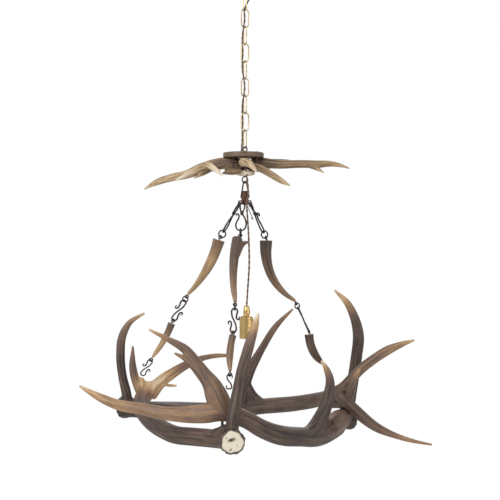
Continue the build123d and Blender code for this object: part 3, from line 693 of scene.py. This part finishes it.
weathered_antler = bone_finish("weathered_antler", [
    (0.0, "3a2c23"), (0.3, "6e5a48"), (0.55, "a88a66"), (0.75, "cdb48e"), (0.97, "ece0ca")])
antlers_drop, slice_drop = 26.0, 48.5
corona_base = (0.0, 0.0, disc_top - antlers_drop)
corona_pieces = {
    "left": [[(-13, 3, 1, 11, .2), (-27, 1, 2.5, 12.5, .3), (-45, 1, 1.5, 13.5, .35),
              (-70, 2, -2.5, 14, .4), (-104, 3, -12, 13, .5), (-137, 4, -25, 10, .6),
              (-176, 6, -33, 9, .6), (-214, 8, -46, 6.5, .65), (-238, 9, -60, 1.5, .7)],
             [(-82, -2, -8, 10, .4), (-98, -16, -12, 8, .5), (-130, -34, -26, 6, .8),
              (-162, -46, -42, 1.5, 1)],
             [(0, 9, 0, 12, .25), (-20, 4, -7, 13, .25), (-48, 2, -8, 11, .3)],
             [(-84, 0, -12, 9, .4), (-100, -18, -24, 6, .4), (-119, -30, -36, 1.5, .6)],
             [(-96, 2, -6, 9, .5), (-84, -24, -6, 8, .75), (-66, -46, -18, 5.5, .9),
              (-50, -62, -33, 1.5, 1)]],
    "right": [[(17, 2, 3.5, 12.5, .1), (46, -1, 1.5, 12, .2), (82, -2, -2, 10, .35),
               (129, -4, -1, 9.2, .4), (169, -7, -2, 9, .45), (200, -10, -1, 6.8, .5),
               (220, -12, -4, 5, .6), (245, -14, -12, 1.5, .7)],
              [(5, 9, 0, 12, .1), (24, 4, -6, 13, .12), (52, 0, -3, 11, .2)],
              [(150, -5, -5, 6, .4), (168, -14, -12, 5, .5), (184, -25, -23, 1.5, .8)]],
    "front": [[(-6, -18, 1, 9.5, .35), (-3, -44, 1, 10, .6), (7, -70, -3, 8.8, .7),
               (17, -95, -13, 6.4, .75), (27, -112, -26, 2.4, .85)]],
    "front_left": [[(-13, -17, -18, 7, .4), (-24, -26, -20, 8, .4), (-38, -34, -22, 6.5, .35),
                    (-52, -41, -25, 2, .3)]],
    "down_right": [[(22, -20, -7, 8, .4), (34, -27, -12, 8.5, .45), (58, -38, -26, 8, .55),
                    (84, -50, -43, 6.5, .6), (105, -60, -55, 1.5, .7)]],
    "back": [[(13, 25, 0, 12, .2), (34, 44, 1, 12.5, .25), (74, 70, 5, 11, .35), (112, 92, 7, 8, .4),
              (150, 112, 4, 1.5, .5)]],
}
for number, (side_name, stretches) in enumerate(corona_pieces.items()):
    dressed(grow(f"corona_tine_{side_name}", corona_base, stretches, weathered_antler, cell=1.1,
                 ridge=0.6, seed=20 + number, fillet=6.0),
            "antler_tan", "corona", f"corona_antler_{side_name}")
slice_stretches = [
    [(-20, 2, 0, 4.8, .8), (-10, 2, 0, 6.6, .9), (2, 3, 0.5, 7.2, .95), (14, 2, 0.5, 6.6, .9),
     (23, 2, 0.5, 4.8, .8)],
    [(-20, -5, 0, 4.6, .75), (-9, -7, 0, 6.2, .9), (2, -8, 0, 6.8, 1), (13, -7, 0.5, 6.2, .9),
     (21, -6, 0.5, 4.6, .8)],
    [(-12, 10, 0, 5.2, .7), (0, 12, 0, 6, .7), (13, 10, 0, 5.2, .7)],
]
dressed(grow("corona_slice", (0, 0, disc_top - slice_drop), slice_stretches, weathered_antler,
             cell=1.0, ridge=0.4, seed=40, fillet=8.0),
        "antler_pale", "corona", "corona_boss")

# ---------------------------------------------------------------- hub and strings
# A rusty bobbin turns on the bar of an iron hoop. From each of its three lugs a string goes down
# to the ring of antlers: a long forged hook, a ring, a horn, a small ring, an S hook, a small horn
# and a foot hook, all of black iron wire but the horns, which have screw eyes in their ends.
rusty = Finish("rusted_bobbin")
where = rusty.place()
crust = rusty.noise(where, 130.0, 6.0, 0.7)
flakes = rusty.noise(where, 60.0, 3.0)
rusty.dress(Base_Color=rusty.ramp(crust * 0.6 + flakes * 0.4, (0.35, colour("2e211b")),
                                  (0.5, colour("543829")), (0.66, colour("7d5740"))),
            Metallic=0.15, Roughness=0.7, Normal=rusty.bump(crust, 0.0022, 0.8))
repaint(rusty, "hub_bobbin")

ring_base = (-2.0, -8.0, -1053.05)
lug_reach, lug_drop = 12.0, 10
strings = {
    "left": dict(foot=(-246, 78, 101), lug_turn=165, roll=55, bow=10, bow_turn=0, pear=52, upper=150,
                 lower=96, s_loop=6.2, s_reach=64, eye_turn=60, lean=(0, 0)),
    "middle": dict(foot=(-32, -240, 103), lug_turn=-116, roll=0, bow=9, bow_turn=75, pear=48,
                   upper=165, lower=87, s_loop=6.4, s_reach=67, eye_turn=0, lean=(-6, 0)),
    "right": dict(foot=(215, 122, 79), lug_turn=20, roll=20, bow=28, bow_turn=0, pear=51, upper=163,
                  lower=84, s_loop=4.8, s_reach=75, eye_turn=60, lean=(-3, -3)),
}
for string in strings.values():
    lug = math.radians(string["lug_turn"])
    string["start"] = np.array([math.cos(lug) * lug_reach, math.sin(lug) * lug_reach,
                                bar_level - lug_drop])
    reach = np.array(ring_base) + string["foot"] - string["start"]
    string["length"] = np.linalg.norm(reach)
    string["way"] = reach / string["length"]
    across = np.cross((0, 0, 1), string["way"])
    string["across"] = across / np.linalg.norm(across)
    string["over"] = np.cross(string["way"], string["across"])


def on_string(string, distance, aside=0.0, out=0.0, roll=0.0):
    """A point at a distance along a string, and off it within and square to a rolled plane."""
    roll = math.radians(roll)
    side = string["across"] * math.cos(roll) + string["over"] * math.sin(roll)
    square = np.cross(side, string["way"])
    return string["start"] + string["way"] * distance + side * aside + square * out


def bowed(string, distance, bow):
    """A point on a string's line as its horns bow it."""
    turn = math.radians(string["bow_turn"])
    outward = string["over"] * math.cos(turn) + string["across"] * math.sin(turn)
    return string["start"] + string["way"] * distance - outward * bow


def forged(name, string, outline, roll, radius, *replaced, tip=0.45, seed=1):
    """A forged iron wire on a string, its points given as aside, distance and out; its ends taper."""
    blow, taper = 5.0, 9.0
    random = np.random.default_rng(seed)
    knots = [(*on_string(string, distance, aside, out, roll), radius)
             for aside, distance, out in outline]
    line = smooth_line(knots, 0.9)
    walked = walk(line)
    blows = np.arange(0, walked[-1] + 6, blow)
    beat = np.interp(walked, blows, random.uniform(0.93, 1.07, len(blows)))
    ends = np.minimum(walked, walked[-1] - walked)
    line[:, 3] *= beat * (tip + (1 - tip) * np.clip(ends / taper, 0, 1))
    points, faces = skin(line, forged_sides)
    return dressed(shell(name, points / 1000, faces, iron), "black_iron", "antler_ring", *replaced)


def wire_loop(string, middle, radius, wire, turn):
    """A ring of wire round a point on a string: its points and faces."""
    overlap = 0.12
    line = [(*on_string(string, middle + radius * math.cos(a), radius * math.sin(a), 0, turn), wire)
            for a in np.linspace(0, 2 * math.pi + overlap, 36)]
    return skin(np.array(line), wire_sides)


def screw_eye(string, end, outward):
    """A screw eye at a horn's end, as its loop and the neck that goes into the horn."""
    bite = 3
    neck = [(*on_string(string, end + outward * reach), eye_wire)
            for reach in np.linspace(-bite, eye_reach - 2 * eye_radius + eye_wire, 6)]
    middle = end + outward * (eye_reach - eye_radius)
    return [wire_loop(string, middle, eye_radius, eye_wire, string["eye_turn"]),
            skin(np.array(neck), wire_sides)]


def double_hook(top, end, loop):
    """An S-hook's outline between two eyes; each end turns back to a small scroll at half height."""
    drawn_length = 60
    scale = (end - top) / drawn_length
    half = [(loop + 2.4, 21), (loop + 5, 21.6), (loop + 6, 25), (loop + 3, 28), (loop - 0.8, 24.5),
            (loop - 1.2, 16), (loop, 6), (loop * 0.6, 1.2), (0, 0), (-loop * 0.6, 1), (-loop, 5),
            (-loop * 0.95, 13)]
    return ([(aside, top + fall * scale, 0) for aside, fall in half]
            + [(-aside, end - fall * scale, 0) for aside, fall in reversed(half)])


def stretched(outline, pear):
    """A long hook's outline, its lower loop stretched from its drawn length to a string's own."""
    points = []
    for aside, down, out in outline:
        if down >= hook_waist:
            down = hook_waist + (down - hook_waist) * pear / drawn_pear
        points.append((aside, down, out))
    return points


# Wires are given by their radius.
forged_sides, wire_sides = 12, 10
rod, ring_wire, eye_wire = 1.95, 1.75, 1.45
small_ring_wire, foot_rod, spare_wire = eye_wire * 1.1, rod * 0.85, 0.95
collar_length, collar_rim, collar_swell = 9.5, 3.2, 1.0
ring_radius, small_ring_radius, eye_radius, eye_reach = 8.5, 6.5, 3.8, 11.0
hook_top, hook_waist, drawn_pear = 0.6, 29.6, 56.0
hook_end = hook_waist + drawn_pear
small_ring_start, s_hook_start, hook_in_eye, foot_room, foot_loop = 7.8, 17.4, 7.7, 0.7, 5.8
# The points of their scrolls that the right S hook and the middle foot hook go without.
s_scroll, foot_scroll = 4, 5
long_outlines = {
    "left": [(5.6, 31, -2), (4.6, 22, -1.2), (5.2, 10, -.5), (4.2, 3.2, 0), (0, hook_top, 0),
             (-4.2, 3.2, 0), (-5.2, 10, .5), (-4, 20, 1), (-1, hook_waist, 1.2), (4.5, 42, .5),
             (8.5, 58, 0), (8.8, 74, 0), (5.5, 83, 0), (0, hook_end, 0), (-5.5, 83, 0), (-8.8, 74, 0),
             (-8, 58, 0), (-5, 44, -.6), (-4.6, 36, -1), (-8, 32.5, -2), (-11, 35.5, -3),
             (-9.4, 39.5, -3.4)],
    "middle": [(2.4, 30, -2), (4.4, 21, -1.2), (5.4, 10, -.5), (4.2, 3.2, 0), (0, hook_top, 0),
               (-4.2, 3.2, 0), (-5.4, 10, .5), (-4.2, 20, 1), (-.5, hook_waist, 1.2), (6, 42, .5),
               (10.6, 56, 0), (11.6, 70, 0), (7.5, 82, 0), (0, hook_end, 0), (-7.5, 82, 0), (-12, 71, 0),
               (-10.5, 57, 0), (-6.5, 46, -.6), (-6.5, 38, -1), (-9.6, 33, -1.4), (-13, 36, -1.6),
               (-11, 39.8, -1.4)],
    "right": [(2.4, 31, -2), (4.2, 21, -1.2), (5, 10, -.5), (4, 3.2, 0), (0, hook_top, 0), (-4, 3.2, 0),
              (-5, 10, .5), (-3.6, 20, 1), (-.5, hook_waist, 1.2), (3.5, 42, .5), (6, 56, 0), (7, 72, 0),
              (4.8, 82, 0), (0, hook_end, 0), (-4.8, 82, 0), (-7, 72, 0), (-5.5, 56, 0), (-3.4, 44, -.6),
              (-4.4, 34, -1.6), (-9.5, 29.5, -2.4), (-13.4, 33.4, -2.8), (-10.6, 38, -2.6), (-7.6, 35, -2)],
}
for number, (side_name, string) in enumerate(strings.items()):
    outline = stretched(long_outlines[side_name], string["pear"])
    forged(f"forged_long_hook_{side_name}", string, outline, 0, rod, f"long_hook_{side_name}",
           seed=50 + number)
    collar_line = [(*on_string(string, hook_waist + collar_length * t),
                    collar_rim + collar_swell * math.sin(math.pi * (t + 0.5)))
                   for t in np.linspace(-0.5, 0.5, 9)]
    points, faces = skin(np.array(collar_line), 16)
    dressed(shell(f"hook_collar_{side_name}", points / 1000, faces, iron), "black_iron",
            "antler_ring")

    ring_top = hook_waist + string["pear"] - rod - ring_wire - touch_gap
    string["horn_top"] = ring_top + 2 * ring_radius - ring_wire - eye_wire - touch_gap + eye_reach
    upper_end = string["horn_top"] + string["upper"]
    top = upper_end + s_hook_start
    string["lower_top"] = top + string["s_reach"]
    lower_end = string["lower_top"] + string["lower"]
    parts = [wire_loop(string, ring_top + ring_radius, ring_radius, ring_wire, 90),
             wire_loop(string, upper_end + small_ring_start + small_ring_radius, small_ring_radius,
                       small_ring_wire, 90)]
    for place, outward in ((string["horn_top"], -1), (upper_end, 1), (string["lower_top"], -1),
                           (lower_end, 1)):
        parts += screw_eye(string, place, outward)
    points, faces = joined(parts)
    # A known fault: the eyes in the antlers, foot_eyes, are stood for here but not drawn.
    dressed(shell(f"rings_and_eyes_{side_name}", points / 1000, faces, iron), "black_iron",
            "antler_ring", "string_rings", "small_rings", "horn_eyes", "foot_eyes")

    s_outline = double_hook(top, string["lower_top"] - hook_in_eye, string["s_loop"])
    if side_name == "right":
        s_outline = s_outline[s_scroll:-s_scroll]
    forged(f"forged_s_hook_{side_name}", string, s_outline, string["roll"], rod,
           f"s_hook_{side_name}", seed=60 + number)
    foot_outline = double_hook(lower_end + hook_in_eye, string["length"] - foot_room, foot_loop)
    if side_name == "middle":
        foot_outline = foot_outline[foot_scroll:-foot_scroll]
    forged(f"forged_foot_hook_{side_name}", string, foot_outline, string["roll"], foot_rod,
           f"foot_hook_{side_name}", seed=70 + number)

# A spare hook of thin wire that hangs behind the flex, off the right-hand lug.
spare_outline = [(-1.5, 10, 6), (0, 3, 6.5), (2, 0, 7), (4, 3, 7.5), (3.6, 12, 8), (2.4, 24, 9),
                 (1, 34, 10), (3.6, 39.5, 10), (6.6, 36.5, 10), (5, 33.4, 10)]
forged("spare_hook", strings["right"], spare_outline, 0, spare_wire, seed=80)

# ---------------------------------------------------------------- horns
# Two pieces of stag's horn on each string, sawn flat at the top and tapered to the foot, dark at
# the cut and honey-coloured towards the tip. A screw eye in each end holds them between the hooks.
# Each row has the radii and the tones from top to foot, and the spurs, measured from the top.
horn_bone = bone_finish("stag_horn", [
    (0.0, "33251d"), (0.25, "614c3f"), (0.5, "8e7056"), (0.75, "b8996e"), (1.0, "dcc398")],
    streak=0.7, roughness=0.46, relief_shade=0.35, bone=("a08a6c", "6d5642"))
horns = {
    ("upper", "left"): ((14.6, 12.9, 12.2, 10.6, 8.4, 6.2, 3.8), (.35, .5, .62, .66, .68, .7, .72), []),
    ("upper", "middle"): ((12.0, 11.6, 10.6, 9.3, 8.0, 6.8, 4.2), (.16, .2, .22, .3, .42, .55, .68),
                          [[(0, -23, -40, 6.5, .2), (4, -14, -26, 7.5, .2), (11, -7, -14, 6.5, .2),
                            (19, -3, -10, 4.2, .25), (27, 0, -8.5, 1.8, .4)]]),
    ("upper", "right"): ((14.9, 13.0, 11.2, 10.0, 8.4, 6.4, 3.8), (.05, .12, .25, .36, .5, .58, .64), []),
    ("lower", "left"): ((9.0, 8.4, 8.0, 7.2, 6.2, 5.2, 3.2), (.25, .34, .5, .66, .7, .74, .8), []),
    ("lower", "middle"): ((8.2, 7.6, 8.0, 8.1, 7.2, 5.6, 3.2), (.2, .3, .36, .4, .44, .5, .6), []),
    ("lower", "right"): ((11.0, 10.4, 10.4, 10.2, 9.2, 7.0, 3.4), (.12, .16, .2, .2, .24, .3, .5), []),
}
lower_bow_share = 0.4
for number, ((which, side_name), (radii, tones, spurs)) in enumerate(horns.items()):
    string = strings[side_name]
    start = string["horn_top"] if which == "upper" else string["lower_top"]
    bow = string["bow"] * (1.0 if which == "upper" else lower_bow_share)
    main = []
    for share, radius, tone in zip(np.linspace(0, 1, len(radii)), radii, tones):
        place = bowed(string, start + string[which] * share, 4 * bow * share * (1 - share))
        place[0] += string["lean"][which == "lower"] * (1 - share) ** 2
        main.append((*place, radius, tone))
    top = main[0]
    branches = [[(x + top[0], y + top[1], z + top[2], radius, tone) for x, y, z, radius, tone in spur]
                for spur in spurs]
    dressed(grow(f"horn_drop_{which}_{side_name}", (0, 0, 0), [main] + branches, horn_bone, cell=1.1,
                 ridge=0.4, seed=90 + number, fillet=7.0, sawn=True),
            "horn", "antler_ring", f"{which}_horn_{side_name}")

# ---------------------------------------------------------------- ring of antlers
# Three shed antlers of red deer stags. Each one's crown lies over the next one's burr, and an iron
# peg through both holds them, so that the three make one stiff ring. Their rows are the beam and
# then the tines and the webs between them, as x, y, z, radius and tone.
old_antler = bone_finish("old_antler", [
    (0.0, "2e2320"), (0.2, "57463c"), (0.42, "775f50"), (0.62, "9c7a5b"),
    (0.8, "c6a174"), (1.0, "ead9bc")], streak=0.6, relief_shade=0.42)
ring_antlers = {
    "antler_front": [
        [(-23, -303, -2, 26, .2), (-24, -294, -2, 28, .12), (-26, -281, -2, 24, .15),
         (-42, -255, -3, 21, .15), (-72, -230, -4, 20, .2), (-112, -200, -5, 20, .22),
         (-150, -160, -7, 20, .2), (-186, -105, -1, 20, .2), (-226, -20, 14, 19.5, .2),
         (-246, 45, 34, 18.5, .3), (-240, 90, 58, 18, .5), (-226, 112, 76, 11, .6)],
        [(-26, -274, 4, 15, .12), (-23, -279, 38, 14.5, .12), (-17, -275, 75, 13.5, .15),
         (-11, -270, 110, 11.5, .16), (-4, -262, 146, 11, .2), (6, -254, 178, 11.5, .26),
         (16, -249, 212, 10.6, .4), (25, -247, 242, 8, .75), (32, -246, 268, 2.6, 1)],
        [(-60, -240, 6, 14, .15), (-48, -258, 10, 15, .15), (-34, -270, 22, 13, .15)],
        [(-239, 92, 39, 14, .4), (-258, 100, 75, 11.5, .5), (-269, 100, 112, 9.5, .42),
         (-270, 98, 171, 2.6, .5)],
        [(-229, 98, 52, 18, .5), (-204, 116, 82, 15.5, .84), (-174, 126, 103, 12.5, .66),
         (-141, 138, 122, 10, .42), (-102, 150, 137, 7, .5), (-46, 166, 142, 4.4, .65),
         (-28, 171, 140, 2.6, .8)],
        [(-204, 114, 76, 5, .6), (-184, 102, 75, 4, .72), (-163, 93, 75, 2.6, .9)],
        [(-240, 86, 46, 15, .6), (-246, 96, 72, 12, .86), (-249, 99, 88, 8, .94), (-250, 100, 95, 6, .94)],
        [(-236, 88, 46, 14.5, .62), (-234, 101, 70, 13, .94), (-235, 104, 85, 9, .96)],
        [(-238, 82, 44, 14, .62), (-224, 99, 66, 13.5, .94), (-214, 108, 82, 10.5, .96)]],
    "antler_right": [
        [(262, 124, -8, 24, .15), (254, 119, -9, 26, .08), (243, 112, -11, 22, .1),
         (219, 62, -20, 23, .3), (167, -42, -27, 24, .18), (124, -115, -18, 22, .15),
         (78, -175, -5, 22, .15), (38, -212, 15, 20, .2), (7, -228, 35, 19, .3), (-42, -238, 53, 20, .48),
         (-86, -238, 50, 20.7, .55), (-156, -215, 46, 15.9, .58), (-224, -190, 54, 13.2, .6),
         (-281, -172, 62, 11.7, .64), (-318, -163, 76, 9.3, .7), (-344, -158, 89, 6, .76),
         (-366, -153, 101, 2.6, .85)],
        [(-38, -238, 48, 20, .42), (-57, -239, 85, 24.5, .45), (-69, -239, 112, 20, .45),
         (-86, -238, 136, 15.5, .36), (-104, -236, 160, 13.5, .34), (-123, -234, 185, 10.5, .36),
         (-166, -230, 211, 6, .5), (-206, -225, 231, 2.6, .8)],
        [(-80, -238, 122, 14, .36), (-104, -238, 150, 11, .4), (-124, -243, 168, 7, .48),
         (-149, -250, 182, 2.6, .7)],
        [(198, 0, -14, 22, .35), (222, 55, -4, 23.5, .42), (243, 108, -4, 22, .3)],
        [(240, 112, -10, 16, .1), (250, 128, 12, 17, .1), (263, 141, 66, 14.5, .12),
         (275, 139, 144, 14, .12), (279, 132, 193, 13.5, .16), (268, 125, 240, 11, .3),
         (252, 120, 272, 8.5, .6), (219, 112, 306, 2.6, .9)],
        [(135, -98, -21, 20, .15), (158, -68, -12, 20, .15), (176, -48, 14, 17.5, .15),
         (190, -40, 44, 14.5, .16), (197, -36, 74, 12.5, .18), (199, -34, 101, 10, .25),
         (192, -34, 125, 7.5, .6), (179, -35, 147, 2.6, 1)]],
    "antler_left": [
        [(-300, 131, 20, 26, .1), (-291, 126, 20, 28, .08), (-278, 119, 19, 24, .1),
         (-248, 116, 15, 21, .15), (-212, 142, 11, 20, .15), (-172, 190, 5, 20, .18),
         (-105, 250, -4, 20, .2), (-14, 284, -6, 20, .2), (46, 284, 2, 20, .22),
         (124, 262, 11, 19.5, .22), (180, 215, 26, 18.5, .2), (206, 165, 40, 17, .25),
         (222, 125, 54, 17, .25), (240, 98, 68, 14, .3)],
        [(-284, 122, 26, 14, .1), (-287, 112, 56, 12, .12), (-296, 110, 96, 10.5, .14),
         (-301, 110, 150, 10.5, .18), (-297, 110, 192, 10, .3), (-279, 110, 226, 7, .55),
         (-242, 110, 250, 2.6, .85)],
        [(-8, 284, 0, 17, .15), (-4, 280, 40, 16, .15), (8, 272, 82, 14, .2), (44, 255, 152, 9.5, .3),
         (80, 235, 211, 7.5, .45), (122, 220, 255, 2.6, .6)],
        [(4, 278, 54, 15, .15), (18, 281, 28, 15.5, .18), (40, 283, 9, 15, .2)],
        [(206, 150, 30, 17, .25), (232, 118, 34, 17, .25), (250, 100, 30, 14, .25)],
        [(250, 90, 30, 13, .25), (256, 80, 60, 11, .25), (262, 72, 88, 9, .4), (270, 66, 106, 6.5, .6),
         (278, 62, 122, 2.6, .7)],
        [(218, 132, 50, 14, .3), (246, 96, 76, 14, .3), (278, 85, 113, 12, .4), (313, 80, 141, 11.5, .48),
         (344, 72, 162, 11, .52), (378, 62, 178, 7, .6), (406, 55, 188, 2.6, .75)],
        [(222, 122, 52, 14, .25), (242, 96, 40, 14.5, .25), (268, 80, 16, 14, .3), (319, 68, -23, 11, .35),
         (362, 60, -41, 7, .5), (392, 55, -50, 5.5, .55), (448, 48, -61, 2.6, .7)]],
}
for number, (name, stretches) in enumerate(ring_antlers.items()):
    dressed(grow(f"stag_{name}", ring_base, stretches, old_antler, cell=1.6, ridge=1.0, seed=3 + number,
                 burr=True, fillet=16.0),
            "antler_brown", "antler_ring", name)

# ---------------------------------------------------------------- lampholder
# A turned and polished brass holder for a bayonet lamp, with a dark moulded insert and bright
# contact pins inside. Their shapes come from the frame, and only their finishes are made here.
polished = Finish("polished_brass")
smudges = polished.noise(polished.place(), 34.0, 3.0)
polished.dress(Metallic=1.0, Roughness=smudges * 0.14 + 0.15,
               Base_Color=polished.blend(smudges, colour("d6bb82"), colour("b3925a")))
repaint(polished, "cord_grip", "holder_cap", "holder_body", "holder_sleeve")
pin_brass = Finish("pin_brass").dress(Metallic=1.0, Roughness=0.25, Base_Color=colour("d8bd83"))
repaint(pin_brass, "contact_pin_left", "contact_pin_right", "terminal_screws")
moulded = Finish("moulded_insert")
moulded.dress(Base_Color=colour("1d1a18"), Roughness=moulded.noise(moulded.place(), 60.0) * 0.3 + 0.3)
repaint(moulded, "holder_insert")
